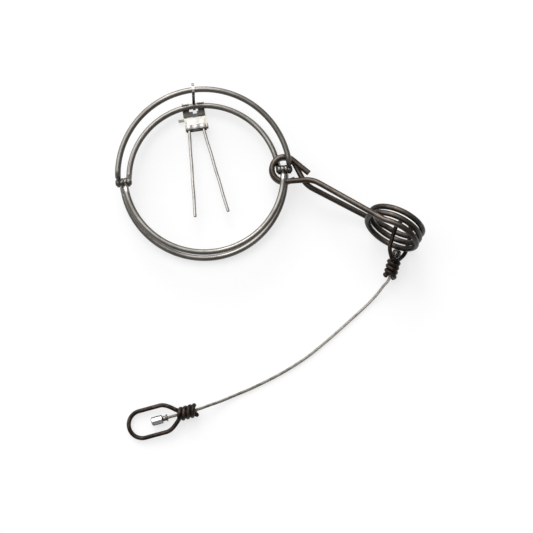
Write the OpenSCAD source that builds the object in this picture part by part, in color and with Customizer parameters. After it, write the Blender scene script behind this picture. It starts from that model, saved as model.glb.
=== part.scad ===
// Round body grip trap, set and lying flat: two hinged jaws, one torsion spring,
// a dog and trigger, and an anchor cable with a wound wire swivel at each end.
// X runs along the jaws' hinge line, +Z is up from the surface it lies on.

/* [Jaws] */
// Radius of the outer upper hoop, to the middle of its wire
jaw_r = 60.3; // [50:0.1:75]
// Diameter of the jaw wire
jaw_wire = 4; // [3.2:0.1:4.2]
// Thickness of the flattened hoop ends on the hinge rivet
eye_t = 2.2; // [1.8:0.1:2.3]
// Radius of the flattened hoop ends
eye_r = 3.2; // [2.8:0.1:3.3]
// Step from one hoop end to the next along the rivet
eye_pitch = 2.4; // [2.35:0.05:3]
// Height of each hoop's plane off the hinge line
hoop_lift = 6; // [5.8:0.1:9]
// Tilt of the outer jaw when set
outer_tilt = 6; // [4:0.1:12]
// Tilt of the inner jaw when set
inner_tilt = 3.9; // [3:0.1:12]

/* [Hinge rivets] */
// Radius of the rivet shank
rivet_r = 1.5; // [1:0.05:1.8]
// Running clearance of the hoop ends on the shank
rivet_play = 0.08; // [0.02:0.01:0.1]
// Radius of the rivet head
rivet_head_r = 2.2; // [1.9:0.05:2.3]
// Thickness of the rivet head
rivet_head_t = 1; // [0.6:0.05:1.1]

/* [Spring] */
// Diameter of the spring wire
spring_wire = 4; // [3.2:0.1:4.1]
// Radius of the two eyes, to the middle of the wire
ring_r = 8.8; // [8.7:0.1:12]
// Gap between the two eyes
ring_gap = 0.3; // [0.2:0.05:0.5]
// Radius of the coil, to the middle of the wire
coil_r = 19.3; // [14:0.1:24]
// Distance from the eyes to the coil's middle, seen from above
coil_reach = 87; // [70:0.5:120]
// Direction of the spring from the hinge line, seen from above
coil_dir = -33.1; // [-40:0.1:0]
// Direction of the coil's own turns
turn_dir = -34; // [-40:0.1:0]
// Lean of the coil from upright
coil_lean = 16; // [0:0.5:20]
// Step from one turn of the coil to the next
coil_pitch = 5.25; // [4.6:0.05:6]
// How far the turns spread at the coil's two ends
coil_spread = 0.1; // [0:0.1:3]

/* [Dog] */
// Thickness of the dog's plate
dog_t = 1.9; // [1:0.1:2.4]
// Place of the dog along the jaw
dog_x = -2.8; // [-4:0.1:-2.5]
// Gap between the dog and the two jaw wires
dog_gap = 0.35; // [0.2:0.05:0.6]
// Wall of the dog round the outer jaw's wire
dog_wall = 1.5; // [1:0.1:1.7]

/* [Trigger] */
// Thickness of the clip's sheet
clip_t = 1.1; // [0.8:0.1:1.3]
// Gap between the clip's knuckles and the wire
clip_gap = 0.5; // [0.45:0.05:0.7]
// Width of the clip
clip_w = 14.8; // [14:0.2:20]
// Length of the clip's plate, away from the jaw wire
plate_l = 10; // [7:0.5:14]
// Diameter of the trigger wires
trigger_wire = 2.2; // [1.6:0.1:2.4]
// Length of the trigger wires below the clip
trigger_l = 64; // [40:1:75]

/* [Swivels and cable] */
// Diameter of the swivel wire
link_wire = 3; // [2.4:0.1:3.2]
// Width of a swivel loop, between the middles of its two sides
link_w = 19; // [17:0.5:24]
// Length of the loop at the spring
near_link_l = 28.5; // [28:0.5:32]
// Length of the loop at the free end
far_link_l = 35; // [28:0.5:40]
// Turns in each wrap
wrap_turns = 2; // [1:0.5:3]
// Step between neighbouring strands of a wrap
wrap_step = 3.3; // [3.25:0.05:4]
// Diameter of the cable
cable_d = 2.1; // [1.6:0.1:2.4]
// Radius of the crimped ferrules
ferrule_r = 3.1; // [2.4:0.1:3.4]
// Length of the ferrule at the spring
near_ferrule_l = 4.5; // [4:0.5:7]
// Length of the ferrule at the free end
far_ferrule_l = 8; // [6:0.5:12]

/* [Hidden] */
$fn = 64;

// Hoop radii follow their places on the rivet, outside to inside
outer_up_r = jaw_r;
outer_low_r = jaw_r - eye_pitch;
inner_low_r = jaw_r - 2 * eye_pitch;
inner_up_r = jaw_r - 3 * eye_pitch;
hinge_x = jaw_r - 1.5 * eye_pitch;
leg_run = 6;
leg_start = eye_r + 0.3;
neck_w = 2.6;
hinge_h = jaw_wire / 2 + hoop_lift * cos(outer_tilt) + outer_low_r * sin(outer_tilt);

// Rivet
stack_l = 3 * eye_pitch + eye_t;

// Spring: places of the eyes, the bends behind them and the coil
ring_h = spring_wire / 2 + ring_gap / 2;
ring_c = [hinge_x, 0];
front_bend = [hinge_x + 19.1, -8.9, hinge_h + ring_h];
rear_bend = [hinge_x + 14.4, -11.8, hinge_h - ring_h];
front_tail = [hinge_x + 17.1, -4.4, hinge_h + ring_h];
coil_c = [hinge_x + coil_reach * cos(coil_dir), coil_reach * sin(coil_dir), coil_r + 3.9];
along = [cos(turn_dir), sin(turn_dir), 0];
across = [-sin(turn_dir), cos(turn_dir), 0];
lean_up = across * sin(coil_lean) + [0, 0, cos(coil_lean)];
lean_out = -across * cos(coil_lean) + [0, 0, sin(coil_lean)];
coil_from = -7;
coil_to = 930;
coil_mid = 6.7;

// Trigger: the chord of the inner jaw's wire that the clip turns on
knuckle_l = 4.8;
knuckle_x = [-9, 2];
chord_y = [for (x = knuckle_x) sqrt(pow(inner_up_r, 2) - pow(x, 2))];
chord_dir = atan2(chord_y[1] - chord_y[0], knuckle_x[1] - knuckle_x[0]);
chord_mid = [(knuckle_x[0] + knuckle_x[1]) / 2, (chord_y[0] + chord_y[1]) / 2 - 0.05, -hoop_lift];
knuckle_r = jaw_wire / 2 + clip_gap;
plate_drop = 7.5;
wire_x = [-5.2, 4.7];
wire_dir = [-0.9, 11.2];

// Swivels: where each wrap starts, beside its loop
anchor = [coil_c[0], coil_c[1], 0];
near_swivel = anchor + [0.1, -22, 8];
near_dir = 68;
near_pitch = 3.4;
near_roll = 45;
far_swivel = anchor + [-162.4, -117.6, 5.1];
far_dir = 190;
far_pitch = -5.2;
wrap_r = link_wire / 2 + cable_d / 2 + 0.95;
wrap_l = 2 * wrap_turns * wrap_step;
washer_t = 0.8;
washer_r = 2.5;
near_stop = 1.7;
far_stop = 7.5;

// Route of the cable's middle, from the ferrule at the spring to the far one
cable_route = [for (p = [
    [1.8, -17.8, 8.3], [-0.8, -24.3, 7.9], [-3.3, -30.5, 7.5], [-5.7, -36.4, 7.1],
    [-9.4, -40.1, 5.4], [-13.9, -45.1, 3.2], [-19.9, -50.6, 1.6], [-26.9, -56.1, 1.1],
    [-34.9, -62.1, 1.1], [-42.9, -68.1, 1.1], [-52.9, -75.3, 1.1], [-66.9, -84.7, 1.1],
    [-80.9, -92.3, 1.1], [-94.9, -98.5, 1.1], [-109.9, -104.1, 1.1], [-121.9, -107.9, 1.5],
    [-131.9, -111, 3.2], [-139.9, -113, 5.4], [-146.9, -114.8, 6.5], [-153.9, -116.1, 5.9],
    [-162.4, -117.6, 5.1], [-173.9, -119.6, 4.1]
]) anchor + p];

// Middle of the box round everything but the free cord, for the origin
box_x = 43.83;
box_y = -10.17;

// Vector and path helpers
function unit(v) = v / norm(v);
function mix(a, b, k) = a + (b - a) * k;
function square_off(v, t) = unit(v - (v * t) * t);
function any_side(t) = square_off(abs(t[2]) < 0.8 ? [0, 0, 1] : [1, 0, 0], t);
function tangents(p) = [
    for (i = [0:len(p) - 1]) unit(p[min(i + 1, len(p) - 1)] - p[max(i - 1, 0)])
];
function sides_of(t) = [
    for (i = 0, n = any_side(t[0]); i < len(t); i = i + 1, n = i < len(t) ? square_off(n, t[i]) : n) n
];

// Round corner between two straight runs, as a quadratic curve of six steps
function corner(a, b, c, cut) =
    let (p = b + unit(a - b) * cut, q = b + unit(c - b) * cut)
    [for (i = [0:6]) mix(mix(p, b, i / 6), mix(b, q, i / 6), i / 6)];

// Smooth curve through a list of points, three steps to each stretch
function curve_point(a, b, c, d, k) =
    0.5 * ((2 * b) + (c - a) * k + (2 * a - 5 * b + 4 * c - d) * k * k
    + (3 * b - a - 3 * c + d) * k * k * k);
function smooth(p, steps) = [
    for (i = [0:len(p) - 2], s = [0:steps - 1])
        curve_point(p[max(i - 1, 0)], p[i], p[i + 1], p[min(i + 2, len(p) - 1)], s / steps),
    p[len(p) - 1]
];

// Round wire swept along the points first to last of a path
module wire_run(p, d, count, first, last) {
    t = tangents(p);
    n = sides_of(t);
    rings = [
        for (i = [first:last], j = [0:count - 1])
            let (a = 360 * j / count) p[i] + d / 2 * (n[i] * cos(a) + cross(t[i], n[i]) * sin(a))
    ];
    rows = last - first;
    walls = [
        for (i = [0:rows - 1], j = [0:count - 1])
            let (k = (j + 1) % count)
            [i * count + j, (i + 1) * count + j, (i + 1) * count + k, i * count + k]
    ];
    start_cap = [for (j = [0:count - 1]) j];
    end_cap = [for (j = [0:count - 1]) rows * count + count - 1 - j];
    polyhedron(rings, concat(walls, [start_cap, end_cap]), convexity = 10);
}

module wire(p, d, count) wire_run(p, d, count, 0, len(p) - 1);

// Straight round rod between two points
module rod(a, b, r) {
    v = b - a;
    translate(a) rotate([0, acos(v[2] / norm(v)), atan2(v[1], v[0])]) cylinder(h = norm(v), r = r);
}

// Everything is drawn about the hinge line, then set on the origin
module placed() translate([-box_x, -box_y, 0]) children();
module outer_jaw() placed() translate([0, 0, hinge_h]) rotate([outer_tilt, 0, 0]) children();
module inner_jaw() placed() translate([0, 0, hinge_h]) rotate([-inner_tilt, 0, 0]) children();

// Half hoop on its own side of the hinge line, with a flattened eye at each end
module half_hoop(r, side, level) {
    from = asin(leg_run / r);
    leg = unit([0, side * leg_run, level]);
    union() {
        translate([0, 0, level]) mirror([0, side > 0 ? 0 : 1, 0]) rotate([0, 0, from])
            rotate_extrude(angle = 180 - 2 * from) translate([r, 0]) circle(d = jaw_wire);
        for (s = [-1, 1]) {
            knee = [s * r * cos(from), side * leg_run, level];
            toe = [s * r, 0, 0] + leg * leg_start;
            translate(knee) sphere(d = jaw_wire + 0.1);
            rod(toe, knee, jaw_wire / 2);
            translate([s * r - eye_t / 2, 0, 0]) rotate([90, 0, 90]) linear_extrude(eye_t)
                eye_outline(atan2(leg[2], leg[1]));
        }
    }
}

// Flattened end from the side: a round eye with a short neck towards the wire
module eye_outline(angle) difference() {
    union() {
        circle(r = eye_r);
        rotate(angle) translate([0, -neck_w / 2]) square([leg_start + 1, neck_w]);
    }
    circle(r = rivet_r + rivet_play);
}

module outer_upper_hoop() color("dimgray") outer_jaw() half_hoop(outer_up_r, 1, hoop_lift);
module outer_lower_hoop() color("gray") outer_jaw() half_hoop(outer_low_r, -1, -hoop_lift);
module inner_upper_hoop() color("slategray") inner_jaw() half_hoop(inner_up_r, 1, -hoop_lift);
module inner_lower_hoop() color("silver") inner_jaw() half_hoop(inner_low_r, -1, hoop_lift);

// Rivet through the four hoop ends, with a bevelled head at each end
module hinge_rivet(side) {
    color("lightgray") placed() translate([side * hinge_x, 0, hinge_h]) rotate([0, 90, 0]) {
        cylinder(h = stack_l + 0.4, r = rivet_r, center = true);
        for (s = [0, 1]) mirror([0, 0, s]) translate([0, 0, stack_l / 2 + 0.1]) {
            cylinder(h = rivet_head_t / 2, r = rivet_head_r);
            translate([0, 0, rivet_head_t / 2])
                cylinder(h = rivet_head_t / 2, r1 = rivet_head_r, r2 = rivet_head_r * 0.6);
        }
    }
}
module hinge_rivet_left() hinge_rivet(-1);
module hinge_rivet_right() hinge_rivet(1);

// The spring is one wire: eye, arm, coil, arm, eye
function ring_point(a, z) = [ring_c[0] + ring_r * cos(a), ring_c[1] + ring_r * sin(a), z];
function touch_angle(p, way) =
    let (v = [p[0] - ring_c[0], p[1] - ring_c[1]])
    atan2(v[1], v[0]) + way * acos(ring_r / norm(v));
function coil_out(a) =
    1 + coil_pitch * a / 360 + coil_spread * pow(sin(a), 2) * (a - 450) / 360;
function coil_point(a) =
    coil_c + lean_out * (coil_out(a) - coil_mid) + coil_r * (along * sin(a) - lean_up * cos(a));

front_eye = [
    front_tail,
    for (a = [touch_angle(front_tail, 1):9:360 + touch_angle(front_bend, -1)])
        ring_point(a, hinge_h + ring_h)
];
rear_leave = 285;
rear_tail = ring_point(rear_leave, hinge_h - ring_h) + [-sin(rear_leave), cos(rear_leave), 0] * 5;
rear_eye = [
    for (a = [touch_angle(rear_bend, 1):9:rear_leave]) ring_point(a, hinge_h - ring_h),
    rear_tail
];
front_corner = corner(ring_point(touch_angle(front_bend, -1), front_bend[2]), front_bend,
    coil_point(coil_to), 6);
rear_corner = corner(coil_point(coil_from), rear_bend,
    ring_point(touch_angle(rear_bend, 1), rear_bend[2]), 6);
coil_turns = [for (a = [coil_to:-12:coil_from]) coil_point(a)];
front_part = concat(front_eye, front_corner);
spring_path = concat(front_part, coil_turns, rear_corner, rear_eye);
coil_first = len(front_part);
coil_last = coil_first + len(coil_turns) - 1;

module spring_coil() color("saddlebrown") placed()
    wire_run(spring_path, spring_wire, 12, coil_first, coil_last);
module spring_front_arm() color("peru") placed()
    wire_run(spring_path, spring_wire, 12, 0, coil_first);
module spring_rear_arm() color("sienna") placed()
    wire_run(spring_path, spring_wire, 12, coil_last, len(spring_path) - 1);

// Dog: a plate on edge that hangs on the outer jaw's wire and hooks under the inner jaw's
outer_at_dog = sqrt(pow(outer_up_r, 2) - pow(dog_x, 2));
inner_at_dog = sqrt(pow(inner_up_r, 2) - pow(dog_x, 2));
dog_eye = [
    outer_at_dog * cos(outer_tilt) - hoop_lift * sin(outer_tilt),
    hinge_h + outer_at_dog * sin(outer_tilt) + hoop_lift * cos(outer_tilt)
];
dog_hook = [
    inner_at_dog * cos(inner_tilt) - hoop_lift * sin(inner_tilt),
    hinge_h - inner_at_dog * sin(inner_tilt) - hoop_lift * cos(inner_tilt)
];
dog_bore = jaw_wire / 2 + dog_gap;
hook_t = 1.6;
module dog_outline() {
    hook_bottom = dog_hook[1] - dog_bore - hook_t;
    back_y = dog_hook[0] + dog_bore + 2;
    difference() {
        union() {
            translate(dog_eye) circle(r = dog_bore + dog_wall);
            hull() {
                translate([dog_eye[0] + 0.6, dog_eye[1]]) circle(r = dog_bore + 0.6);
                translate([back_y - 0.2, dog_hook[1] + 2]) circle(r = 1.8);
            }
            hull() {
                translate([back_y - 0.2, dog_hook[1] + 2]) circle(r = 1.8);
                translate([back_y - 1, hook_bottom + 1]) circle(r = 1);
            }
            hull() {
                translate([back_y - 1, hook_bottom + hook_t / 2]) circle(r = hook_t / 2);
                translate([dog_hook[0] - 1.4, hook_bottom + hook_t / 2]) circle(r = hook_t / 2);
            }
            hull() {
                translate([dog_eye[0], dog_eye[1] + dog_bore + 0.4]) circle(r = 1);
                translate([dog_eye[0] + 3.4, dog_eye[1] + 1.6]) circle(r = 1);
            }
        }
        translate(dog_eye) circle(r = dog_bore);
        translate(dog_hook) circle(r = dog_bore);
    }
}
module dog() color("gainsboro") placed() translate([dog_x - dog_t / 2, 0, 0])
    rotate([90, 0, 90]) linear_extrude(dog_t) dog_outline();

// The trigger turns on the chord: its own X runs along it, and its plate leans to the middle
module on_trigger() inner_jaw() translate(chord_mid) rotate([0, 0, chord_dir]) children();

// Side view of the clip's sheet, wrapped under the wire and running on as a plate
module clip_outline() {
    outer = knuckle_r + clip_t;
    difference() {
        circle(r = outer);
        circle(r = knuckle_r);
        translate([-outer - 1, 1.2]) square([outer + 1, outer + 1]);
    }
    translate([-plate_drop - plate_l, -outer]) square([plate_drop + plate_l, clip_t]);
}
module clip_slab(x, w, from, to) intersection() {
    translate([x - w / 2, 0, 0]) rotate([90, 0, 90]) linear_extrude(w) clip_outline();
    translate([x - w / 2, from, -8]) cube([w, to - from, 16]);
}
module trigger_clip() {
    reach = plate_drop + plate_l;
    color("whitesmoke") on_trigger() {
        for (s = [-1, 1])
            clip_slab(s * (knuckle_x[1] - knuckle_x[0]) / 2, knuckle_l, -6, 6);
        clip_slab(0, clip_w, -reach, -6);
        translate([-clip_w / 2 - 4.4, -reach + 8.2, -knuckle_r - clip_t]) cube([5, 2, clip_t]);
    }
}

// Folded bead along the plate that holds the two wires
bead_r = 2.3;
bead_l = clip_w + 1.6;
bead_y = -plate_drop - plate_l + 2.4;
bead_z = bead_r - knuckle_r + 0.05;
module trigger_clamp() color("silver") on_trigger() {
    difference() {
        translate([0.4 - bead_l / 2, bead_y, bead_z]) rotate([0, 90, 0])
            cylinder(h = bead_l, r = bead_r);
        for (x = wire_x) translate([x - 2.2, bead_y - bead_r - 1, bead_z - 1.3])
            cube([4.4, bead_r + 3.2, 2.6]);
    }
    for (x = wire_x) translate([x, bead_y, bead_z - bead_r + 0.3])
        cylinder(h = 2 * bead_r - 0.6, r = 0.72);
}

// Trigger wire with a small eye that turns on a pin in the bead
module trigger_prong(i) on_trigger() translate([wire_x[i], bead_y, bead_z]) {
    rotate([0, 0, wire_dir[i] - 90 - chord_dir]) difference() {
        union() {
            cylinder(h = trigger_wire, r = 1.9, center = true);
            rotate([0, 90, 0]) cylinder(h = trigger_l, d = trigger_wire);
            translate([trigger_l, 0, 0]) sphere(d = trigger_wire + 0.1);
        }
        cylinder(h = 6, r = 0.8, center = true);
    }
}
module trigger_wire_left() color("lightgray") trigger_prong(0);
module trigger_wire_right() color("lightgray") trigger_prong(1);

// Swivel: a loop whose two ends are wound round the cable as one double wrap
function wrap_point(a, side) = [
    -2 * wrap_step * a / 360, side * wrap_r * cos(a), side * wrap_r * sin(a)
];
function loop_side(l, side) = [
    for (i = [1:4]) let (k = i / 5)
        [k * l * 0.3, side * mix(wrap_r, link_w / 2, sin(90 * k)), 0],
    [l * 0.3, side * link_w / 2, 0],
    [l * 0.5, side * link_w / 2, 0]
];
function turned_round(p) = [for (i = [len(p) - 1:-1:0]) p[i]];
function swivel_wire(l) = concat(
    [for (a = [360 * wrap_turns:-24:0]) wrap_point(a, 1)],
    loop_side(l, 1),
    [for (a = [90:-15:-90]) [l - link_w / 2 + link_w / 2 * cos(a), link_w / 2 * sin(a), 0]],
    turned_round(loop_side(l, -1)),
    [for (a = [0:24:360 * wrap_turns]) wrap_point(a, -1)]
);
module near_end() placed() translate(near_swivel) rotate([0, -near_pitch, near_dir]) children();
module far_end() placed() translate(far_swivel) rotate([0, -far_pitch, far_dir]) children();
module stop_washer() rotate([0, 90, 0]) difference() {
    cylinder(h = washer_t, r = washer_r, center = true);
    cylinder(h = washer_t + 2, r = cable_d / 2 + 0.25, center = true);
}
module ferrule(l) rotate([0, 90, 0]) {
    cylinder(h = l - 1, r = ferrule_r);
    translate([0, 0, l - 1]) cylinder(h = 1, r1 = ferrule_r, r2 = ferrule_r - 0.8);
}

module near_swivel_link() color("dimgray") near_end() rotate([near_roll, 0, 0])
    wire(swivel_wire(near_link_l), link_wire, 10);
module near_stop_washer() color("silver") near_end() translate([near_stop, 0, 0]) stop_washer();
module near_ferrule() color("white") near_end() translate([near_stop + washer_t / 2 + 0.1, 0, 0])
    ferrule(near_ferrule_l);
module far_swivel_link() color("dimgray") far_end() wire(swivel_wire(far_link_l), link_wire, 10);
module far_stop_washer() color("silver") far_end() translate([far_stop, 0, 0]) stop_washer();
module far_collar() color("silver") far_end() translate([far_stop + washer_t / 2 + 0.1, 0, 0])
    rotate([0, 90, 0]) cylinder(h = 2.6, r = 1.9);
module far_ferrule() color("white") far_end() translate([far_stop + washer_t / 2 + 2.8, 0, 0])
    ferrule(far_ferrule_l);

module cable() color("darkgray") placed() wire(smooth(cable_route, 3), cable_d, 8);

outer_upper_hoop();
outer_lower_hoop();
inner_upper_hoop();
inner_lower_hoop();
hinge_rivet_left();
hinge_rivet_right();
spring_coil();
spring_front_arm();
spring_rear_arm();
dog();
trigger_clip();
trigger_clamp();
trigger_wire_left();
trigger_wire_right();
near_swivel_link();
near_stop_washer();
near_ferrule();
cable();
far_swivel_link();
far_stop_washer();
far_collar();
far_ferrule();
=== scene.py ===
import bpy, bmesh
from math import sin, cos, pi, radians, sqrt, acos, asin, atan2, degrees
from mathutils import Matrix, Vector


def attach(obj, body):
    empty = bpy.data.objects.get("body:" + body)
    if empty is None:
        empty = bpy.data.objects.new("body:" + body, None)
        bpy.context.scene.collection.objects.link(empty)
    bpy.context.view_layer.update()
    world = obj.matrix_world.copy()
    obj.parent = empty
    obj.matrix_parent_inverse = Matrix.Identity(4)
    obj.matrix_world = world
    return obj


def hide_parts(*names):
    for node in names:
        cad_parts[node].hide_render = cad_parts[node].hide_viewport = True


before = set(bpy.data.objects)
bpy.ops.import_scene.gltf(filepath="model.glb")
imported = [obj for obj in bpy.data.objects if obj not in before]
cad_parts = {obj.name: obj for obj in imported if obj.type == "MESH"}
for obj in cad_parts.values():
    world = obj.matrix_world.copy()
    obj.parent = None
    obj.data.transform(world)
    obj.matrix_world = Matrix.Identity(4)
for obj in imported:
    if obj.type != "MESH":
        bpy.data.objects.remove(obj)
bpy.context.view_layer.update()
scene = bpy.context.scene

# Lengths below are in millimetres from the middle of the hinge line, z up from the table.
# The frame's own origin lies at the place below
origin = Vector((43.83, -10.17, 0))
millimetre = 0.001

def toFrame(p):
    return (Vector(p) - origin) * millimetre

def mix(a, b, k):
    return a + (b - a) * k

def turned(p, degreesX):
    return Matrix.Rotation(radians(degreesX), 3, "X") @ Vector(p)


# Camera: the focal length is in pixels of the picture
print("camera")
camera = dict(place=(-16.25, -151.53, 928.07), turn=(5.527, -2.914, -5.142), focal=1310.6, picture=533,
              sensor=36, clip=(0.01, 20))

def makeCamera(c):
    data = bpy.data.cameras.new("camera")
    data.sensor_width = c["sensor"]
    data.lens = c["sensor"] * c["focal"] / c["picture"]
    data.clip_start, data.clip_end = c["clip"]
    cam = bpy.data.objects.new("camera", data)
    scene.collection.objects.link(cam)
    cam.location = toFrame(c["place"])
    cam.rotation_euler = [radians(a) for a in c["turn"]]
    scene.camera = cam

makeCamera(camera)


# Mesh helpers: a part is a list of places, a list of faces and the set of faces that are shaded flat
def joined(name, parts):
    verts, faces, flat = [], [], set()
    for partVerts, partFaces, partFlat in parts:
        start, first = len(verts), len(faces)
        verts += partVerts
        faces += [[i + start for i in face] for face in partFaces]
        flat |= {i + first for i in partFlat}
    mesh = bpy.data.meshes.new(name)
    mesh.from_pydata([toFrame(v) for v in verts], [], faces)
    mesh.update()
    mesh.polygons.foreach_set("use_smooth", [i not in flat for i in range(len(faces))])
    obj = bpy.data.objects.new(name, mesh)
    scene.collection.objects.link(obj)
    bm = bmesh.new()
    bm.from_mesh(mesh)
    bmesh.ops.recalc_face_normals(bm, faces=bm.faces)
    bm.to_mesh(mesh)
    bm.free()
    return obj

def circle(count):
    return [2 * pi * j / count for j in range(count)]

def directions(points):
    last = len(points) - 1
    return [(points[min(i + 1, last)] - points[max(i - 1, 0)]).normalized() for i in range(last + 1)]

# Directions along a line, and sides to them that turn no more than they must
def frames(points):
    tangents = directions(points)
    steep = 0.8
    side = Vector((0, 0, 1)) if abs(tangents[0].z) < steep else Vector((1, 0, 0))
    sides = []
    for t in tangents:
        side = (side - t * side.dot(t)).normalized()
        sides.append(side)
    return tangents, sides

# Faces round a row of rings with count places each; the two ends come last
def tube(rings, count):
    faces = []
    for i in range(rings - 1):
        for j in range(count):
            k = (j + 1) % count
            faces.append([i * count + j, i * count + k, (i + 1) * count + k, (i + 1) * count + j])
    last = rings * count - 1
    return faces + [list(range(count)), [last - j for j in range(count)]]

# Wire along points: size is the radius, or two half widths for each point, and bevel rounds its ends
def sweep(points, size, count, bevel=0, sides=None):
    tangents, found = frames(points)
    pairs = size if isinstance(size, list) else [(size, size)] * len(points)
    rings = list(zip(points, tangents, sides or found, pairs))

    def trimmed(ring, shift, less):
        place, t, s, (a, b) = ring
        return place + t * shift, t, s, (a - less, b - less)

    if bevel:
        steps = [(0, bevel), (bevel * 0.3, bevel * 0.3), (bevel, 0)]
        start = [trimmed(rings[0], inward, less) for inward, less in steps]
        finish = [trimmed(rings[-1], -inward, less) for inward, less in steps[::-1]]
        rings = start + rings[1:-1] + finish
    verts = []
    for place, t, s, (a, b) in rings:
        up = t.cross(s)
        verts += [place + s * a * cos(turn) + up * b * sin(turn) for turn in circle(count)]
    faces = tube(len(rings), count)
    return verts, faces, {len(faces) - 2, len(faces) - 1}

# Turned shape: profile holds (along, radius) pairs, closed where it is a ring
def lathe(place, axis, profile, count=32, ring=False):
    axis = Vector(axis).normalized()
    side = axis.orthogonal().normalized()
    up = axis.cross(side)
    verts, faces = [], []
    for along, r in profile:
        verts += [Vector(place) + axis * along + (side * cos(turn) + up * sin(turn)) * r
                  for turn in circle(count)]
    rows = len(profile)
    for i in range(rows if ring else rows - 1):
        for j in range(count):
            k, m = (j + 1) % count, (i + 1) % rows
            faces.append([i * count + j, m * count + j, m * count + k, i * count + k])
    if not ring:
        faces += [list(range(count)), [rows * count - 1 - j for j in range(count)]]
    return verts, faces, set()

# Flat ring with a hole: soft rounds its outer edges, and edge breaks those of the hole
def annulus(place, axis, inner, outer, thick, soft=0.3, edge=0.1):
    h = thick / 2
    rounded = [(-h, outer - soft), (-h + soft * 0.3, outer - soft * 0.3), (-h + soft, outer)]
    rounded += [(-along, r) for along, r in rounded[::-1]]
    bore = [(h, inner + edge), (h - edge, inner), (-h + edge, inner)]
    return lathe(place, axis, [(-h, inner + edge)] + rounded + bore, ring=True)

# The bend at b between a and c, begun cut millimetres before it
def corner(a, b, c, cut, steps):
    p, q = b + (a - b).normalized() * cut, b + (c - b).normalized() * cut
    return [mix(mix(p, b, i / steps), mix(b, q, i / steps), i / steps) for i in range(steps + 1)]

# A smooth line through the points, with steps places for each stretch
def smoothLine(points, steps):
    n, line = len(points), []
    for i in range(n - 1):
        a, b, c, d = points[max(i - 1, 0)], points[i], points[i + 1], points[min(i + 2, n - 1)]
        for s in range(steps):
            k = s / steps
            line.append(0.5 * (2 * b + (c - a) * k + (2 * a - 5 * b + 4 * c - d) * k * k
                               + (3 * b - a - 3 * c + d) * k ** 3))
    return line + [points[-1]]

# Places along a line at one distance from each other
def evenly(line, step):
    out, spare = [line[0]], 0
    for a, b in zip(line, line[1:]):
        gap = (b - a).length
        while spare + step <= gap:
            spare += step
            out.append(a + (b - a) * (spare / gap))
        spare -= gap
    return out + [line[-1]]


# Sizes shared by the pieces, as in the CAD. The spring's bends and front tail are (x, y) from the
# right hinge, and its first, last, even and rearTail are degrees
jaw = dict(radius=60.3, pitch=2.4, wire=4.0, lift=6.0, outerTilt=6.0, innerTilt=3.9, legRun=6.0,
           eyeRadius=3.2, eyeThick=2.2, bore=1.58)
outerLowRadius = jaw["radius"] - jaw["pitch"]
innerUpRadius = jaw["radius"] - 3 * jaw["pitch"]
hingeX = jaw["radius"] - 1.5 * jaw["pitch"]
hingeHeight = (jaw["wire"] / 2 + jaw["lift"] * cos(radians(jaw["outerTilt"]))
               + outerLowRadius * sin(radians(jaw["outerTilt"])))
spring = dict(wire=4.0, eye=8.8, gap=0.3, coil=19.3, rise=3.9, reach=87, toCoil=-33.1, turn=-34, lean=16,
              pitch=5.25, spread=0.1, even=450, first=-7, last=930, middle=5.7,
              frontBend=(19.1, -8.9), rearBend=(14.4, -11.8), armCut=6, coilCut=2.6,
              frontTail=(17.1, -4.4), rearTail=285, rearTailLength=5, step=1.1)
coilMiddle = Vector((hingeX + spring["reach"] * cos(radians(spring["toCoil"])),
                     spring["reach"] * sin(radians(spring["toCoil"])), spring["coil"] + spring["rise"]))
anchor = Vector((coilMiddle.x, coilMiddle.y, 0))      # below the coil: the rope and swivels start from it


# Rope: the route is the CAD's, from the crimped ferrule at the spring to the far one
print("rope")
rope = dict(diameter=2.1, lay=12.0, step=0.55, sides=7, strands=6, press=1.02, smooth=12)
ropeRoute = [
    (1.8, -17.8, 8.3), (-0.8, -24.3, 7.9), (-3.3, -30.5, 7.5), (-5.7, -36.4, 7.1), (-9.4, -40.1, 5.4),
    (-13.9, -45.1, 3.2), (-19.9, -50.6, 1.6), (-26.9, -56.1, 1.1), (-34.9, -62.1, 1.1),
    (-42.9, -68.1, 1.1), (-52.9, -75.3, 1.1), (-66.9, -84.7, 1.1), (-80.9, -92.3, 1.1),
    (-94.9, -98.5, 1.1), (-109.9, -104.1, 1.1), (-121.9, -107.9, 1.5), (-131.9, -111, 3.2),
    (-139.9, -113, 5.4), (-146.9, -114.8, 6.5), (-153.9, -116.1, 5.9), (-162.4, -117.6, 5.1),
    (-173.9, -119.6, 4.1)]

# One core strand with six laid round it, each a little over size so that they press together
def makeRope(r):
    line = evenly(smoothLine([anchor + Vector(p) for p in ropeRoute], r["smooth"]), r["step"])
    tangents, sides = frames(line)
    strand = r["diameter"] / 6
    parts = [sweep(line, strand, r["sides"], sides=sides)]
    for k in range(r["strands"]):
        turn = [2 * pi * (k / r["strands"] + i * r["step"] / r["lay"]) for i in range(len(line))]
        outward = [sides[i] * cos(turn[i]) + tangents[i].cross(sides[i]) * sin(turn[i])
                   for i in range(len(line))]
        helix = [line[i] + outward[i] * 2 * strand for i in range(len(line))]
        parts.append(sweep(helix, strand * r["press"], r["sides"], sides=outward))
    piece = joined("wireRope", parts)
    return piece, [toFrame(p) for p in line]

wireRope, ropeLine = makeRope(rope)
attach(wireRope, "spring")
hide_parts("cable")


# Jaws: each hoop is a bent wire with a flattened, drilled end at both hinges. Down a leg the wire
# is flat as far as flatTo and round from roundFrom, both counted from the hinge line
print("jaws")
leg = dict(places=(2.3, 2.8, 3.3, 3.8, 4.3, 4.9, 5.5), flatTo=3.3, roundFrom=5.5, halfWidth=2.15,
           widening=0.1, kneeCut=2.2, kneeAhead=0.08, arcGap=0.06, arcSteps=120, turning=(1, 0.5))

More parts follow.
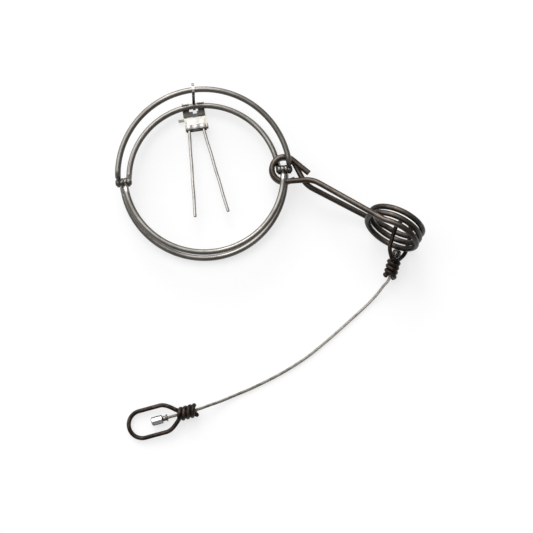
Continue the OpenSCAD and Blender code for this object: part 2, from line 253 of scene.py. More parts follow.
def makeHoop(name, radius, side, level, tilt):
    run, half = jaw["legRun"], jaw["wire"] / 2
    first = asin(run / radius)
    way = Vector((0, side * run, level)).normalized()

    def onArc(a):
        return Vector((radius * cos(a), side * radius * sin(a), level))

    # from the eye to the arc
    def makeLeg(end):
        tip = leg["places"][0]
        toe = Vector((end * radius, 0, 0)) + way * tip
        knee = Vector((end * radius * cos(first), side * run, level))
        ahead = onArc(first + leg["kneeAhead"])
        ahead.x *= end
        line = []
        for t in leg["places"]:
            k = min(max((t - leg["flatTo"]) / (leg["roundFrom"] - leg["flatTo"]), 0), 1)
            k = k * k * (3 - 2 * k)
            flat, wide = jaw["eyeThick"] / 2, leg["halfWidth"] + leg["widening"] * (t - tip)
            line.append((mix(toe, knee, (t - tip) / (knee - toe).length),
                         (mix(flat, half, k), mix(wide, half, k))))
        return line + [(p, (half, half)) for p in corner(toe, knee, ahead, leg["kneeCut"], 8)]

    begin = pi - first - leg["arcGap"]
    angles = [begin - (2 * begin - pi) * i / leg["arcSteps"] for i in range(leg["arcSteps"] + 1)]
    whole = makeLeg(-1) + [(onArc(a), (half, half)) for a in angles] + makeLeg(1)[::-1]
    points = [p for p, size in whole]
    sizes = [size for p, size in whole]
    before, after = leg["turning"]      # round the knee the flat side turns to face out of the hoop
    sides = []
    for p, t in zip(points, directions(points)):
        outward = Vector((p.x, p.y, 0)).normalized()
        if abs(p.y) < run + after:
            flatSide = Vector((1 if p.x > 0 else -1, 0, 0))
            k = max(0, abs(p.y) - run + before) / (before + after)
            outward = flatSide.lerp(outward, k).normalized()
        sides.append((outward - t * outward.dot(t)).normalized())
    parts = [sweep(points, sizes, 24, sides=sides)]
    eye = (jaw["bore"], jaw["eyeRadius"], jaw["eyeThick"])
    parts += [annulus((end * radius, 0, 0), (1, 0, 0), *eye) for end in (-1, 1)]
    lift = Vector((0, 0, hingeHeight))
    parts = [([turned(v, tilt) + lift for v in verts], faces, flat) for verts, faces, flat in parts]
    return joined(name, parts)

hoops = {}
for name, node, step, side, level, tilt, body in (
        ("outerJawUpper", "outer_upper_hoop", 0, 1, jaw["lift"], jaw["outerTilt"], "outer_jaw"),
        ("outerJawLower", "outer_lower_hoop", 1, -1, -jaw["lift"], jaw["outerTilt"], "outer_jaw"),
        ("innerJawLower", "inner_lower_hoop", 2, -1, jaw["lift"], -jaw["innerTilt"], "inner_jaw"),
        ("innerJawUpper", "inner_upper_hoop", 3, 1, -jaw["lift"], -jaw["innerTilt"], "inner_jaw")):
    hoop = makeHoop(name, jaw["radius"] - step * jaw["pitch"], side, level, tilt)
    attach(hoop, body)
    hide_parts(node)
    hoops[name] = hoop

rivet = dict(shank=1.5, head=2.2, thick=1.0, stack=3 * jaw["pitch"] + jaw["eyeThick"], play=0.1)

# The profile runs from one hammered head along the shank to the other
def makeRivet(name, x):
    h = rivet["stack"] / 2 + rivet["play"]
    r, t = rivet["head"], rivet["thick"]
    right = [(h - 0.2, rivet["shank"]), (h, rivet["shank"]), (h, r - 0.15), (h + 0.12, r), (h + t * 0.4, r),
             (h + t * 0.6, r - 0.12), (h + t * 0.9, r * 0.72), (h + t, r * 0.55), (h + t * 0.97, r * 0.3)]
    profile = [(-a, b) for a, b in right[::-1]] + right
    return joined(name, [lathe((x, 0, hingeHeight), (1, 0, 0), profile)])

rivets = [makeRivet("rivetLeft", -hingeX), makeRivet("rivetRight", hingeX)]
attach(rivets[0], "outer_jaw")
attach(rivets[1], "pivot")
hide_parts("hinge_rivet_left")
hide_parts("hinge_rivet_right")


# Spring: one wire from the cut tail of the upper eye, through the coil, to the lower eye
print("spring")
def makeSpring(s):
    apart = s["wire"] / 2 + s["gap"] / 2
    front, rear = hingeHeight + apart, hingeHeight - apart
    turn, lean = radians(s["turn"]), radians(s["lean"])
    along, across = Vector((cos(turn), sin(turn), 0)), Vector((-sin(turn), cos(turn), 0))
    leanUp = across * sin(lean) + Vector((0, 0, cos(lean)))
    leanOut = -across * cos(lean) + Vector((0, 0, sin(lean)))

    def fromHinge(xy, z):
        return Vector((hingeX + xy[0], xy[1], z))

    def eyePoint(a, z):
        return fromHinge((s["eye"] * cos(radians(a)), s["eye"] * sin(radians(a))), z)

    # degrees round the eye where a straight line from p touches it
    def touchAngle(p, way):
        x, y = p.x - hingeX, p.y
        return degrees(atan2(y, x)) + way * degrees(acos(s["eye"] / sqrt(x * x + y * y)))

    def coilPoint(a):
        out = s["pitch"] * a / 360 + s["spread"] * sin(radians(a)) ** 2 * (a - s["even"]) / 360
        return (coilMiddle + leanOut * (out - s["middle"])
                + s["coil"] * (along * sin(radians(a)) - leanUp * cos(radians(a))))

    def eyeArc(a, b, z):
        n = max(8, int(abs(b - a) / 4))
        return [eyePoint(a + (b - a) * i / n, z) for i in range(n + 1)]

    frontBend, rearBend = fromHinge(s["frontBend"], front), fromHinge(s["rearBend"], rear)
    frontTail = fromHinge(s["frontTail"], front)
    frontEnd, rearStart = touchAngle(frontBend, -1), touchAngle(rearBend, 1)
    top, bottom = coilPoint(s["last"]), coilPoint(s["first"])
    high, low = s["last"] - 8, s["first"] + 8      # the coil's round part
    path = [frontTail] + eyeArc(touchAngle(frontTail, 1), 360 + frontEnd, front)
    path += corner(eyePoint(frontEnd, front), frontBend, top, s["armCut"], 10)
    path += corner(frontBend, top, coilPoint(high), s["coilCut"], 5)
    path += [coilPoint(a) for a in range(high, low, -4)]
    path += corner(coilPoint(low), bottom, rearBend, s["coilCut"], 5)
    path += corner(bottom, rearBend, eyePoint(rearStart, rear), s["armCut"], 10)
    path += eyeArc(rearStart, s["rearTail"], rear)
    end = radians(s["rearTail"])
    tail = eyePoint(s["rearTail"], rear) + Vector((-sin(end), cos(end), 0)) * s["rearTailLength"]
    return joined("springWire", [sweep(evenly(path + [tail], s["step"]), s["wire"] / 2, 24, bevel=0.25)])

springWire = makeSpring(spring)
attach(springWire, "spring")
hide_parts("spring_coil", "spring_front_arm", "spring_rear_arm")


# Swivels: a loop whose two ends are wound round the rope as one double wrap. Its sides reach full
# width at shoulder and are straight as far as straight, both parts of its length
print("swivels")
link = dict(wire=3.0, width=19.0, nearLength=28.5, farLength=35.0, turns=2, step=3.3, wrap=3.5,
            shoulder=0.3, straight=0.5)
nearSwivel = dict(place=anchor + Vector((0.1, -22, 8)), turn=68, pitch=3.4, roll=45, stop=1.7)
farSwivel = dict(place=anchor + Vector((-162.4, -117.6, 5.1)), turn=190, pitch=-5.2, roll=0, stop=7.5)

def swivelMatrix(s):
    return (Matrix.Translation(s["place"]) @ Matrix.Rotation(radians(s["turn"]), 4, "Z")
            @ Matrix.Rotation(-radians(s["pitch"]), 4, "Y") @ Matrix.Rotation(radians(s["roll"]), 4, "X"))

def makeLink(name, s, length):
    w, r = link["width"] / 2, link["wrap"]
    shoulder, straight = length * link["shoulder"], length * link["straight"]

    def wrapPoint(a, side):
        return Vector((-2 * link["step"] * a / 360, side * r * cos(radians(a)), side * r * sin(radians(a))))

    def loopSide(side):
        n = 12
        out = [Vector((i / n * shoulder, side * mix(r, w, sin(pi / 2 * i / n)), 0)) for i in range(1, n)]
        return out + [Vector((shoulder, side * w, 0)), Vector((straight, side * w, 0))]

    last = 360 * link["turns"]
    path = [wrapPoint(a, 1) for a in range(last, -1, -10)] + loopSide(1)
    path += [Vector((length - w + w * cos(radians(a)), w * sin(radians(a)), 0))
             for a in range(90, -91, -6)]
    path += loopSide(-1)[::-1] + [wrapPoint(a, -1) for a in range(0, last + 1, 10)]
    m = swivelMatrix(s)
    path = smoothLine([m @ p for p in path], 2)
    return joined(name, [sweep(evenly(path, 0.8), link["wire"] / 2, 20, bevel=0.2)])

nearLink = makeLink("nearSwivel", nearSwivel, link["nearLength"])
farLink = makeLink("farSwivel", farSwivel, link["farLength"])
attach(nearLink, "near_link")
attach(farLink, "far_link")
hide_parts("near_swivel_link")
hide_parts("far_swivel_link")

fitting = dict(washer=2.5, washerThick=0.8, hole=1.3, ferrule=3.1, nearLength=4.5, farLength=8.0,
               crimps=3, crimpDepth=0.16, collar=1.9, collarLength=2.6, waist=0.12, gap=0.1)

# The three profiles run along the rope, away from the swivel's wraps
def ferruleProfile(length):
    r, n = fitting["ferrule"], 24
    start, end = 0.45, 0.85      # the crimped stretch leaves this much at either end
    profile = [(0, r - 0.7), (0.12, r - 0.3), (start, r)]
    for i in range(1, n):
        dip = fitting["crimpDepth"] * max(0, sin(i / n * pi * fitting["crimps"])) ** 2
        profile.append((start + (length - start - end) * i / n, r - dip))
    profile += [(length - 0.8, r), (length - 0.3, r - 0.35), (length, r - 0.85), (length - 0.12, r - 1.5)]
    return profile

def washerProfile():
    t, r, hole, edge = fitting["washerThick"] / 2, fitting["washer"], fitting["hole"], 0.15
    return [(-t, hole), (-t, r - edge), (-t + edge, r), (t - edge, r), (t, r - edge), (t, hole)]

def collarProfile():
    r, length = fitting["collar"], fitting["collarLength"]
    return [(0, r - 0.4), (0.2, r - 0.05), (0.5, r), (length / 2, r - fitting["waist"]), (length - 0.5, r),
            (length - 0.2, r - 0.05), (length, r - 0.4)]

def fitted(name, s, beyond, profile, ring=False):
    m = swivelMatrix(s)
    start = m @ Vector((s["stop"] + beyond, 0, 0))
    return joined(name, [lathe(start, m.to_3x3() @ Vector((1, 0, 0)), profile, 36, ring)])

nextTo = fitting["washerThick"] / 2 + fitting["gap"]
pastCollar = nextTo + fitting["collarLength"] + fitting["gap"]
nearWasher = fitted("nearWasher", nearSwivel, 0, washerProfile(), True)
farWasher = fitted("farWasher", farSwivel, 0, washerProfile(), True)
nearFerrule = fitted("nearFerrule", nearSwivel, nextTo, ferruleProfile(fitting["nearLength"]))
farFerrule = fitted("farFerrule", farSwivel, pastCollar, ferruleProfile(fitting["farLength"]))
farCollar = fitted("farCollar", farSwivel, nextTo, collarProfile())
for piece, node, slot in (
        (nearWasher, "near_stop_washer", "rivet_steel"), (farWasher, "far_stop_washer", "rivet_steel"),
        (nearFerrule, "near_ferrule", "ferrule_metal"), (farFerrule, "far_ferrule", "ferrule_metal"),
        (farCollar, "far_collar", "rivet_steel")):
    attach(piece, "spring")
    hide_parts(node)

ropeLength = sum((b - a).length for a, b in zip(ropeLine, ropeLine[1:]))


# Trigger: places on it are (along the jaw wire's chord, away from the middle, up). The wires' spread
# is in degrees from the way towards the hinge line
print("trigger")
trigger = dict(chord=(-9, 2), inset=0.05, knuckles=(-5.5, 5.5), knuckle=4.8, curl=62, sheet=1.1, gap=0.5,
               opening=(-0.75, 2.15), bridge=(-1.5, 2.9), width=14.8, reach=17.5, dish=0.02,
               rim=1.3, rimWidth=0.8, rimRise=0.5, rimInset=0.42, tab=4.4)
bead = dict(radius=2.3, length=16.4, shift=0.4, fromLip=2.4, gap=0.05, edge=0.12, edgeDrop=0.25,
            slot=4.4, slotHalf=1.3, pins=(-5.2, 4.7), pin=0.72, pinCut=0.4)
prong = dict(wire=2.2, length=64, spread=(-0.9, 11.2), bore=0.82, eye=1.85, eyeThick=2.0, start=1.35,
             over=0.9, neck=(1.0, 0.95), neckLength=2.5, sway=0.09, swayPace=0.31, steps=60)
chordY = [sqrt(innerUpRadius ** 2 - x * x) for x in trigger["chord"]]
chordTurn = degrees(atan2(chordY[1] - chordY[0], trigger["chord"][1] - trigger["chord"][0]))
chordMiddle = Vector((sum(trigger["chord"]) / 2, sum(chordY) / 2 - trigger["inset"], -jaw["lift"]))
triggerTurn = (Matrix.Rotation(radians(-jaw["innerTilt"]), 3, "X")
               @ Matrix.Rotation(radians(chordTurn), 3, "Z"))
beadY = bead["fromLip"] - trigger["reach"]
beadZ = bead["radius"] - jaw["wire"] / 2 - trigger["gap"] + bead["gap"]

def onTrigger(p):
    return triggerTurn @ Vector(p) + turned(chordMiddle, -jaw["innerTilt"]) + Vector((0, 0, hingeHeight))

def placed(part):
    return [onTrigger(v) for v in part[0]], part[1], part[2]

# Sheet from x0 to x1 that follows a line of (y, z) points
def strip(line, x0, x1, thick, soft=0.22):
    line = [Vector((0, y, z)) for y, z in line]
    h, edge = thick / 2, soft * 0.3
    around = [(x0, -h + soft), (x0 + edge, -h + edge), (x0 + soft, -h), (x1 - soft, -h),
              (x1 - edge, -h + edge), (x1, -h + soft), (x1, h - soft), (x1 - edge, h - edge),
              (x1 - soft, h), (x0 + soft, h), (x0 + edge, h - edge), (x0, h - soft)]
    ways = directions(line)
    start, finish = ways[0] * soft, ways[-1] * soft
    rows = [(line[0], ways[0], soft * 0.6), (line[0] + start, ways[0], 0)]
    rows += [(place, way, 0) for place, way in zip(line[1:-1], ways[1:-1])]
    rows += [(line[-1] - finish, ways[-1], 0), (line[-1], ways[-1], soft * 0.6)]
    verts = []
    for place, way, inset in rows:
        up = Vector((1, 0, 0)).cross(way)
        for x, z in around:
            x = min(max(x, x0 + inset), x1 - inset)
            verts.append(place + Vector((x, 0, 0)) + up * (z * (1 - inset / h)))
    faces = tube(len(rows), len(around))
    return verts, faces, set(range(len(faces)))

def bar(section, x0, x1):
    c = len(section)
    verts = [Vector((x, y, z)) for x in (x0, x1) for y, z in section]
    return verts, tube(2, c), {c, c + 1}

# Strips that lie in the plate's own layer are thinner than it, so that no two faces coincide
def makeClip(t):
    sheet = t["sheet"]
    r = jaw["wire"] / 2 + t["gap"] + sheet / 2
    w, half = t["width"] / 2, t["knuckle"] / 2

    def level(*places):
        return [(y, -r) for y in places]

    curl = [(r * cos(radians(a)), r * sin(radians(a))) for a in range(t["curl"], -91, -8)]
    knuckle = curl + level(0, -1.2, -3, -5, -7)
    parts = [strip(knuckle, x - half, x + half, sheet) for x in t["knuckles"]]
    for x0, x1 in ((-w, t["opening"][0]), (t["opening"][1], w)):
        parts.append(strip(level(-2.7, -4.5, -6.5), x0, x1, sheet * 0.96))
    parts.append(strip(level(-4.3, -5, -6.2), *t["bridge"], sheet * 0.92))
    panel = level(-5.8, -8) + [(-10, -r + t["dish"])] + level(-13, -16, -t["reach"])
    parts.append(strip(panel, -w, w, sheet))
    rise = -r + sheet / 2 + t["rimRise"]
    rim = [(-7.4, rise - 0.3), (-8.2, rise), (-12.6, rise)]
    for side in (-1, 1):
        x, rimHalf = side * (w - t["rimInset"]), t["rimWidth"] / 2
        parts.append(strip(rim, x - rimHalf, x + rimHalf, t["rim"], 0.15))
    parts.append(strip(level(-7.4, -8.3, -9.2), -w - t["tab"], -w + 0.5, sheet * 0.95))
    return joined("triggerClip", [placed(part) for part in parts])

# A round bar, open through its middle where the trigger wires' eyes sit
def makeBead(b):
    r, h, edge = b["radius"], b["length"] / 2, b["edge"]

    def arc(radius, angles):
        return [(beadY + radius * cos(a), beadZ + radius * sin(a)) for a in angles]

    whole, less = arc(r, circle(36)), arc(r - b["edgeDrop"], circle(36))
    cut, n = asin(b["slotHalf"] / r), 12
    above = arc(r, [cut + (pi - 2 * cut) * i / n for i in range(n + 1)])
    below = [(y, 2 * beadZ - z) for y, z in above]
    left, right = b["shift"] - h, b["shift"] + h
    slots = [(x - b["slot"] / 2, x + b["slot"] / 2) for x in b["pins"]]
    parts = [bar(less, left, left + edge), bar(less, right - edge, right),
             bar(whole, left + edge, slots[0][0]), bar(whole, slots[0][1], slots[1][0]),
             bar(whole, slots[1][1], right - edge)]
    parts += [bar(section, *slot) for slot in slots for section in (above, below)]
    pin = [(b["pinCut"] - r, b["pin"]), (r - b["pinCut"], b["pin"])]
    parts += [lathe((x, beadY, beadZ), (0, 0, 1), pin, 20) for x in b["pins"]]
    return joined("triggerBead", [placed(part) for part in parts])

# Hand-straightened wire is never quite true, so each one sways a little
def makeProng(name, i, p):
    a = radians(p["spread"][i] - 90 - chordTurn)
    way, across = Vector((cos(a), sin(a), 0)), Vector((-sin(a), cos(a), 0))
    pin = Vector((bead["pins"][i], beadY, beadZ))
    r, reach = p["wire"] / 2, p["length"] + p["over"] - p["start"]
    points, sizes = [], []
    for n in range(p["steps"] + 1):
        beyond = reach * n / p["steps"]
        k = min(beyond / p["neckLength"], 1)
        sway = p["sway"] * sin(n * p["swayPace"] + i * 2) * min(1, n / 10)
        points.append(pin + way * (p["start"] + beyond) + across * sway)
        sizes.append((mix(p["neck"][0], r, k), mix(p["neck"][1], r, k)))
    eye = annulus(pin, (0, 0, 1), p["bore"], p["eye"], p["eyeThick"])
    wire = sweep(points, sizes, 20, bevel=0.6, sides=[across] * len(points))
    return joined(name, [placed(eye), placed(wire)])

triggerClip = makeClip(trigger)
triggerBead = makeBead(bead)
prongs = [makeProng("triggerWireLeft", 0, prong), makeProng("triggerWireRight", 1, prong)]
for piece, node, body, slot in (
        (triggerClip, "trigger_clip", "trigger", "zinc_sheet"),
        (triggerBead, "trigger_clamp", "trigger", "zinc_sheet"),
        (prongs[0], "trigger_wire_left", "trigger_left", "trigger_wire"),
        (prongs[1], "trigger_wire_right", "trigger_right", "trigger_wire")):
    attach(piece, body)
    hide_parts(node)


# Dog: the CAD plate itself with its edges rounded. It hangs on the outer jaw's wire, side
# millimetres from the middle, and dogBar is how far out that wire lies there
dog = dict(side=2.8, rounding=0.22, segments=2)
outerTilt = radians(jaw["outerTilt"])
dogBar = sqrt(jaw["radius"] ** 2 - dog["side"] ** 2) * cos(outerTilt) - jaw["lift"] * sin(outerTilt)
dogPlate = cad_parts["dog"]
rounding = dogPlate.modifiers.new("rounding", "BEVEL")
rounding.width = dog["rounding"] * millimetre
rounding.segments = dog["segments"]
rounding.limit_method = "ANGLE"


# Materials
print("materials")
class Value:
    def __init__(self, finish, socket):
        self.finish, self.socket = finish, socket

    def calc(self, operation, a, b):
        return self.finish.node("ShaderNodeMath", dict(operation=operation), {0: a, 1: b})

    def __add__(self, other):
        return self.calc("ADD", self, other)

    def __radd__(self, other):
        return self.calc("ADD", other, self)

    def __sub__(self, other):
        return self.calc("SUBTRACT", self, other)

    def __rsub__(self, other):
        return self.calc("SUBTRACT", other, self)

    def __mul__(self, other):
        return self.calc("MULTIPLY", self, other)

    def __rmul__(self, other):
        return self.calc("MULTIPLY", other, self)

    # 0 below low, 1 above high, smooth between
    def step(self, low, high):
        return self.finish.node("ShaderNodeMapRange", dict(interpolation_type="SMOOTHSTEP"),
                                {"Value": self, "From Min": low, "From Max": high})

    # a colour from a to b by this value: 6, 7 and output 2 are the node's colour sockets
    def tint(self, a, b):
        return self.finish.node("ShaderNodeMix", dict(data_type="RGBA"), {0: self, 6: a, 7: b}, 2)


class Finish:
    def __init__(self, name, **fixed):
        self.material = bpy.data.materials.new(name)
        self.material.use_nodes = True
        self.tree = self.material.node_tree
        self.shader = self.tree.nodes["Principled BSDF"]
        self.coords = self.node("ShaderNodeTexCoord", {}, {}, "Object")
        for socket, value in fixed.items():
            self.shader.inputs[socket.replace("_", " ")].default_value = value

    def node(self, kind, settings, sockets, out=0):
        made = self.tree.nodes.new(kind)
        for key, value in settings.items():
            setattr(made, key, value)
        for key, value in sockets.items():
            if isinstance(value, Value):
                self.tree.links.new(value.socket, made.inputs[key])
            else:
                made.inputs[key].default_value = value
        return Value(self, made.outputs[out])

    def noise(self, scale, detail=3, rough=0.55, stretch=None):
        place = self.coords
        if stretch:
            place = self.node("ShaderNodeMapping", {}, {"Vector": place, "Scale": stretch})
        return self.node("ShaderNodeTexNoise", {}, {"Vector": place, "Scale": scale, "Detail": detail,
                                                    "Roughness": rough})

    # how much a vector lies along a direction: output 1 is the node's number
    def dot(self, vector, direction):
        return self.node("ShaderNodeVectorMath", dict(operation="DOT_PRODUCT"),
                         {0: vector, 1: direction}, 1)

    # millimetres along a direction, counted from a place
    def along(self, direction, place):
        start = Vector(direction).dot(toFrame(place)) / millimetre
        return self.dot(self.coords, direction) * (1 / millimetre) - start

    # 1 where the piece looks up as it lies, 0 at its sides and below; the finishes use it to paint shade on
    # sides and undersides, and the spring's highlight on its top
    def facingUp(self, low, high):
        normal = self.node("ShaderNodeTexCoord", {}, {}, "Normal")
        return self.node("ShaderNodeSeparateXYZ", {}, {"Vector": normal}, "Z").step(low, high)

    # the bump's depth is in millimetres
    def use(self, bump, depth, **sockets):
        for name, value in sockets.items():
            self.tree.links.new(value.socket, self.shader.inputs[name.replace("_", " ")])
        normal = self.node("ShaderNodeBump", {}, {"Strength": 1.0, "Distance": depth * millimetre,
                                                  "Height": bump})
        self.tree.links.new(normal.socket, self.shader.inputs["Normal"])
        return self.material


def rgb(*c):
    return (*c, 1)

# The lower hoops' ends are rubbed bright, and the eyes at the hinges are greasy
def jawSteel():
    look = dict(bare=rgb(0.285, 0.27, 0.247), grey=rgb(0.18, 0.167, 0.148), brown=rgb(0.14, 0.098, 0.06),
                shadeAndPits=rgb(0.06, 0.052, 0.043), worn=rgb(0.62, 0.6, 0.57), grease=rgb(0.07, 0.062, 0.046))
    f = Finish("jawSteel", Metallic=0.9, Coat_Roughness=0.15, Specular_IOR_Level=0.6)
    clouds = f.noise(60, 4).step(0.35, 0.72)
    grain = f.noise(900, 4, 0.65)
    stain = f.noise(170, 5, 0.65).step(0.56, 0.78)
    pits = f.noise(2200, 2).step(0.64, 0.74)
    hinge = f.along((0, 1, 0), (0, 0, 0))
    ends = hinge.step(-9, -6.5) * (1 - hinge.step(-4.2, -3))
    eyes = hinge.step(-3.8, -3) * (1 - hinge.step(3, 3.8))
    colour = clouds.tint(look["bare"], look["grey"])
    colour = (stain * 0.55).tint(colour, look["brown"])
    colour = (ends * grain.step(0.38, 0.55)).tint(colour, look["worn"])
    colour = (eyes * (0.5 + stain * 0.4)).tint(colour, look["grease"])
    # Painted shade: the hoops' sides and undersides are darkened to the shade colour, which the pits below
    # also take
    colour = f.facingUp(0.3, 0.95).tint(look["shadeAndPits"], colour)
    return f.use(bump=grain * 0.5 - pits, depth=0.04, Base_Color=(pits * 0.5).tint(colour, look["shadeAndPits"]),
                 Roughness=0.24 + grain * 0.1 + clouds * 0.06 + stain * 0.1, Coat_Weight=0.2 - stain * 0.15)

def springSteel():
    look = dict(scale=rgb(0.034, 0.026, 0.021), tan=rgb(0.15, 0.113, 0.083), grey=rgb(0.074, 0.063, 0.056),
                shadeAndPits=rgb(0.021, 0.0175, 0.0145))
    f = Finish("springSteel", Metallic=0.75, Coat_Roughness=0.22, Specular_IOR_Level=0.5)
    clouds = f.noise(70, 4).step(0.4, 0.62)
    worn = f.noise(240, 5, 0.7).step(0.48, 0.68)
    grain = f.noise(1100, 4, 0.65)
    colour = clouds.tint(look["scale"], look["grey"])
    # Painted highlight: the top of the wire is tinted tan, as well as its real worn patches
    colour = (worn * 0.4 + f.facingUp(0.8, 0.97) * 0.35).tint(colour, look["tan"])
    # Painted shade: the wire's sides and underside are darkened to the shade colour
    return f.use(bump=grain * 0.6 + worn * 0.3, depth=0.05,
                 Base_Color=f.facingUp(0.35, 0.9).tint(look["shadeAndPits"], colour),
                 Roughness=0.28 + grain * 0.14 + worn * 0.08, Coat_Weight=0.06 + clouds * 0.08)

def rivetSteel():
    look = dict(bright=rgb(0.3, 0.29, 0.265), dull=rgb(0.075, 0.07, 0.058))
    f = Finish("rivetSteel", Metallic=0.95)
    marks = f.noise(500, 5, 0.7)
    dull = marks.step(0.4, 0.6)
    return f.use(bump=marks, depth=0.12, Base_Color=dull.tint(look["bright"], look["dull"]),
                 Roughness=0.22 + dull * 0.2)

def annealedWire():
    look = dict(blackAndShade=rgb(0.014, 0.0102, 0.0085), brown=rgb(0.052, 0.034, 0.026),
                grey=rgb(0.09, 0.075, 0.066))
    f = Finish("annealedWire", Metallic=0.7, Coat_Roughness=0.3, Specular_IOR_Level=0.25)
    clouds = f.noise(140, 4).step(0.42, 0.62)
    rub = f.noise(420, 5, 0.7).step(0.55, 0.7)
    grain = f.noise(1500, 4)
    colour = clouds.tint(look["blackAndShade"], look["brown"])
    colour = (rub * 0.8).tint(colour, look["grey"])
    # Painted shade: the links' sides and undersides are darkened to black
    return f.use(bump=grain, depth=0.05, Base_Color=f.facingUp(0.2, 0.8).tint(look["blackAndShade"], colour),
                 Roughness=0.34 + grain * 0.15, Coat_Weight=0.05 + rub * 0.12)

# The rope gets dirtier from x 110 to x 10, towards its free end
def ropeWire():
    look = dict(light=rgb(0.45, 0.43, 0.39), dark=rgb(0.1, 0.09, 0.074))
    f = Finish("ropeWire", Metallic=0.8)
    dirt = f.noise(300, 4, 0.6).step(0.45, 0.7)
    wires = f.noise(2600, 2)
    far = 1 - f.along((1, 0, 0), (0, 0, 0)).step(10, 110)
    soiled = dirt * 0.4 + far * 0.5
    return f.use(bump=wires, depth=0.08, Base_Color=soiled.tint(look["light"], look["dark"]),
                 Roughness=0.35 + wires * 0.2)

# Above the noise value dullest the metal is dull
def crimpMetal(name, bright, dull, dullest):
    shadeAndPits = rgb(0.06, 0.055, 0.05)
    f = Finish(name, Metallic=1.0)
    scuffs = f.noise(700, 5, 0.7)
    scuffed = scuffs.step(dullest, dullest + 0.18)
    colour = scuffed.tint(bright, dull)
    # Painted shade: the ferrule's sides and underside are darkened
    return f.use(bump=scuffs, depth=0.06, Base_Color=f.facingUp(0.5, 0.72).tint(shadeAndPits, colour),
                 Roughness=0.14 + scuffed * 0.18)

# On the trigger, in millimetres: how far down the plate from the jaw wire, and across it
def onPlate(f):
    down = f.along(triggerTurn @ Vector((0, -1, 0)), onTrigger((0, 0, 0)))
    across = f.along(triggerTurn @ Vector((1, 0, 0)), onTrigger((0, 0, 0)))
    return down, across

# Bright plate with warm side edges; dark are a painted shadow of the jaw wire in a band below it, a painted
# shade line along the lip, and the tab
def zincSheet():
    look = dict(bright=rgb(0.9, 0.87, 0.83), grey=rgb(0.62, 0.6, 0.57), warm=rgb(0.62, 0.5, 0.36),
                shade=rgb(0.05, 0.047, 0.042))
    f = Finish("zincSheet", Specular_IOR_Level=0.6)
    down, across = onPlate(f)
    cloud = f.noise(260, 4).step(0.42, 0.7)
    scratch = f.noise(500, 3, 0.6, (1, 9, 1))
    colour = (cloud * 0.7).tint(look["bright"], look["grey"])
    edges = across.step(5, 7.2) + (1 - across.step(-7.2, -5))
    colour = (edges * (0.4 + cloud * 0.4)).tint(colour, look["warm"])
    uneven = down + cloud * 0.5
    # Painted shadow of the jaw wire on the plate, and painted shade along the lip's edge
    wireShadow = uneven.step(1.2, 2) * (1 - uneven.step(7, 7.6)) * f.facingUp(0.3, 0.8)
    lipShade = down.step(16.3, 16.8)
    tab = 1 - across.step(-7.9, -7.5)
    dark = 1 - (1 - wireShadow * 0.92) * (1 - lipShade * 0.9) * (1 - tab * 0.7)
    return f.use(bump=scratch, depth=0.05, Base_Color=dark.tint(colour, look["shade"]),
                 Metallic=0.35 + dark * 0.4, Roughness=0.28 + cloud * 0.12 + scratch * 0.08)

def triggerWireSteel():
    look = dict(light=rgb(0.5, 0.475, 0.45), dark=rgb(0.27, 0.25, 0.235), side=rgb(0.17, 0.16, 0.148))
    f = Finish("triggerWireSteel", Metallic=0.85)
    cloud = f.noise(200, 5, 0.65).step(0.45, 0.7)
    grain = f.noise(1200, 3)
    colour = (cloud * 0.7).tint(look["light"], look["dark"])
    # Painted shade: the side colour darkens the wires' sides and undersides
    return f.use(bump=grain, depth=0.04, Base_Color=f.facingUp(0.1, 0.6).tint(look["side"], colour),
                 Roughness=0.28 + grain * 0.15)

# The dog gets a painted highlight where it crosses the outer jaw's wire and painted shade where it dips
# between the jaw wires, with a mid-dark tip beyond
def dogSteel():
    look = dict(bright=rgb(0.6, 0.58, 0.55), tip=rgb(0.17, 0.16, 0.145), dark=rgb(0.022, 0.019, 0.016))
    f = Finish("dogSteel", Metallic=0.6)
    cloud = f.noise(420, 5, 0.65).step(0.42, 0.66)
    grain = f.noise(1400, 3)
    outward = f.along((0, 1, 0), (0, dogBar, 0)) + cloud * 0.8
    colour = outward.step(-2.6, -1.6).tint(look["dark"], look["bright"])
    colour = outward.step(1.4, 2.2).tint(colour, look["tip"])
    return f.use(bump=grain, depth=0.05, Base_Color=(cloud * 0.4).tint(colour, look["tip"]),
                 Roughness=0.28 + cloud * 0.15)

def wear(material, *pieces):
    for piece in pieces:
        piece.data.materials.clear()
        piece.data.materials.append(material)

wear(jawSteel(), *hoops.values())
wear(springSteel(), springWire)
wear(rivetSteel(), *rivets, nearWasher, farWasher, farCollar)
wear(annealedWire(), nearLink, farLink)
wear(ropeWire(), wireRope)
wear(crimpMetal("crimpMetal", rgb(0.88, 0.88, 0.87), rgb(0.5, 0.49, 0.47), 0.52), farFerrule)
wear(crimpMetal("crimpStained", rgb(0.16, 0.15, 0.14), rgb(0.045, 0.04, 0.034), 0.4), nearFerrule)
wear(zincSheet(), triggerClip, triggerBead)
wear(triggerWireSteel(), *prongs)
wear(dogSteel(), dogPlate)

# Table and light: metres here, and directions point towards the light
print("table and light")
stageLook = dict(table=rgb(0.95, 0.95, 0.95), tableHalf=5, tableDrop=0.0002, whitened=0.7, room=0.2,
                 panel=2.3, panelFrom=(-0.38, 0.62, 0.68), panelEdge=(0.55, 0.9),
                 key=0.9, keyFrom=(-0.15, 0.8, 0.62), keyAngle=24)

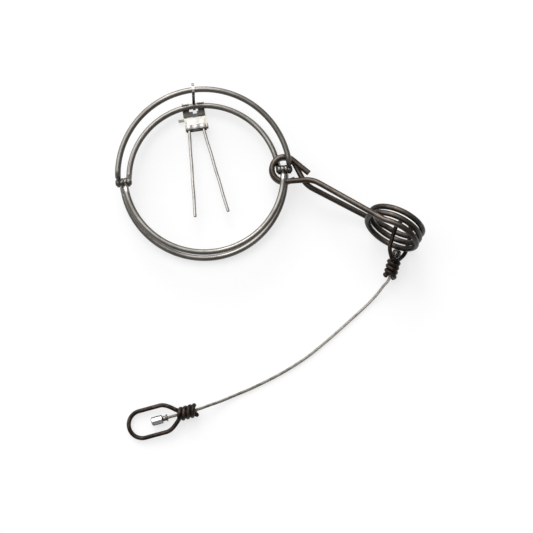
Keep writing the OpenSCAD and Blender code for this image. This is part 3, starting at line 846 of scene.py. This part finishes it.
# To the camera and in reflections the table is mostly plain white, shaded only by the rest
def makeTable():
    mesh = bpy.data.meshes.new("table")
    bm = bmesh.new()
    bmesh.ops.create_grid(bm, x_segments=1, y_segments=1, size=stageLook["tableHalf"])
    bm.to_mesh(mesh)
    bm.free()
    table = bpy.data.objects.new("table", mesh)
    table.location.z = -stageLook["tableDrop"]
    scene.collection.objects.link(table)
    f = Finish("tableTop", Roughness=0.7, Specular_IOR_Level=0.2, Base_Color=stageLook["table"])
    seen = f.node("ShaderNodeLightPath", {}, {}, "Is Camera Ray")
    for ray in ("Is Glossy Ray", "Is Transmission Ray"):
        seen = seen + f.node("ShaderNodeLightPath", {}, {}, ray)
    white = f.node("ShaderNodeEmission", {}, {"Color": rgb(1, 1, 1), "Strength": 1.0})
    plain = Value(f, f.shader.outputs[0])
    both = f.node("ShaderNodeMixShader", {}, {0: seen * stageLook["whitened"], 1: plain, 2: white})
    f.tree.links.new(both.socket, f.tree.nodes["Material Output"].inputs["Surface"])
    mesh.materials.append(f.material)

# A dim room with one broad bright panel, high up behind the trap and to its left. The camera
# itself sees it as white
class Room(Finish):
    def __init__(self):
        self.world = bpy.data.worlds.new("room")
        self.world.use_nodes = True
        self.tree = self.world.node_tree

def makeLight():
    f = Room()
    scene.world = f.world
    sky = f.node("ShaderNodeTexCoord", {}, {}, "Generated")
    facing = f.dot(sky, Vector(stageLook["panelFrom"]).normalized())
    strength = facing.step(*stageLook["panelEdge"]) * stageLook["panel"] + stageLook["room"]
    seen = f.node("ShaderNodeLightPath", {}, {}, "Is Camera Ray")
    strength = seen + (1 - seen) * strength
    background = f.tree.nodes["Background"]
    f.tree.links.new(strength.socket, background.inputs["Strength"])
    background.inputs["Color"].default_value = rgb(1, 1, 1)
    sun = bpy.data.lights.new("window", "SUN")
    sun.energy = stageLook["key"]
    sun.angle = radians(stageLook["keyAngle"])
    lamp = bpy.data.objects.new("window", sun)
    lamp.rotation_mode = "QUATERNION"
    lamp.rotation_quaternion = Vector(stageLook["keyFrom"]).to_track_quat("Z", "Y")
    scene.collection.objects.link(lamp)

makeTable()
makeLight()
scene.view_settings.view_transform = "Standard"

print("done")
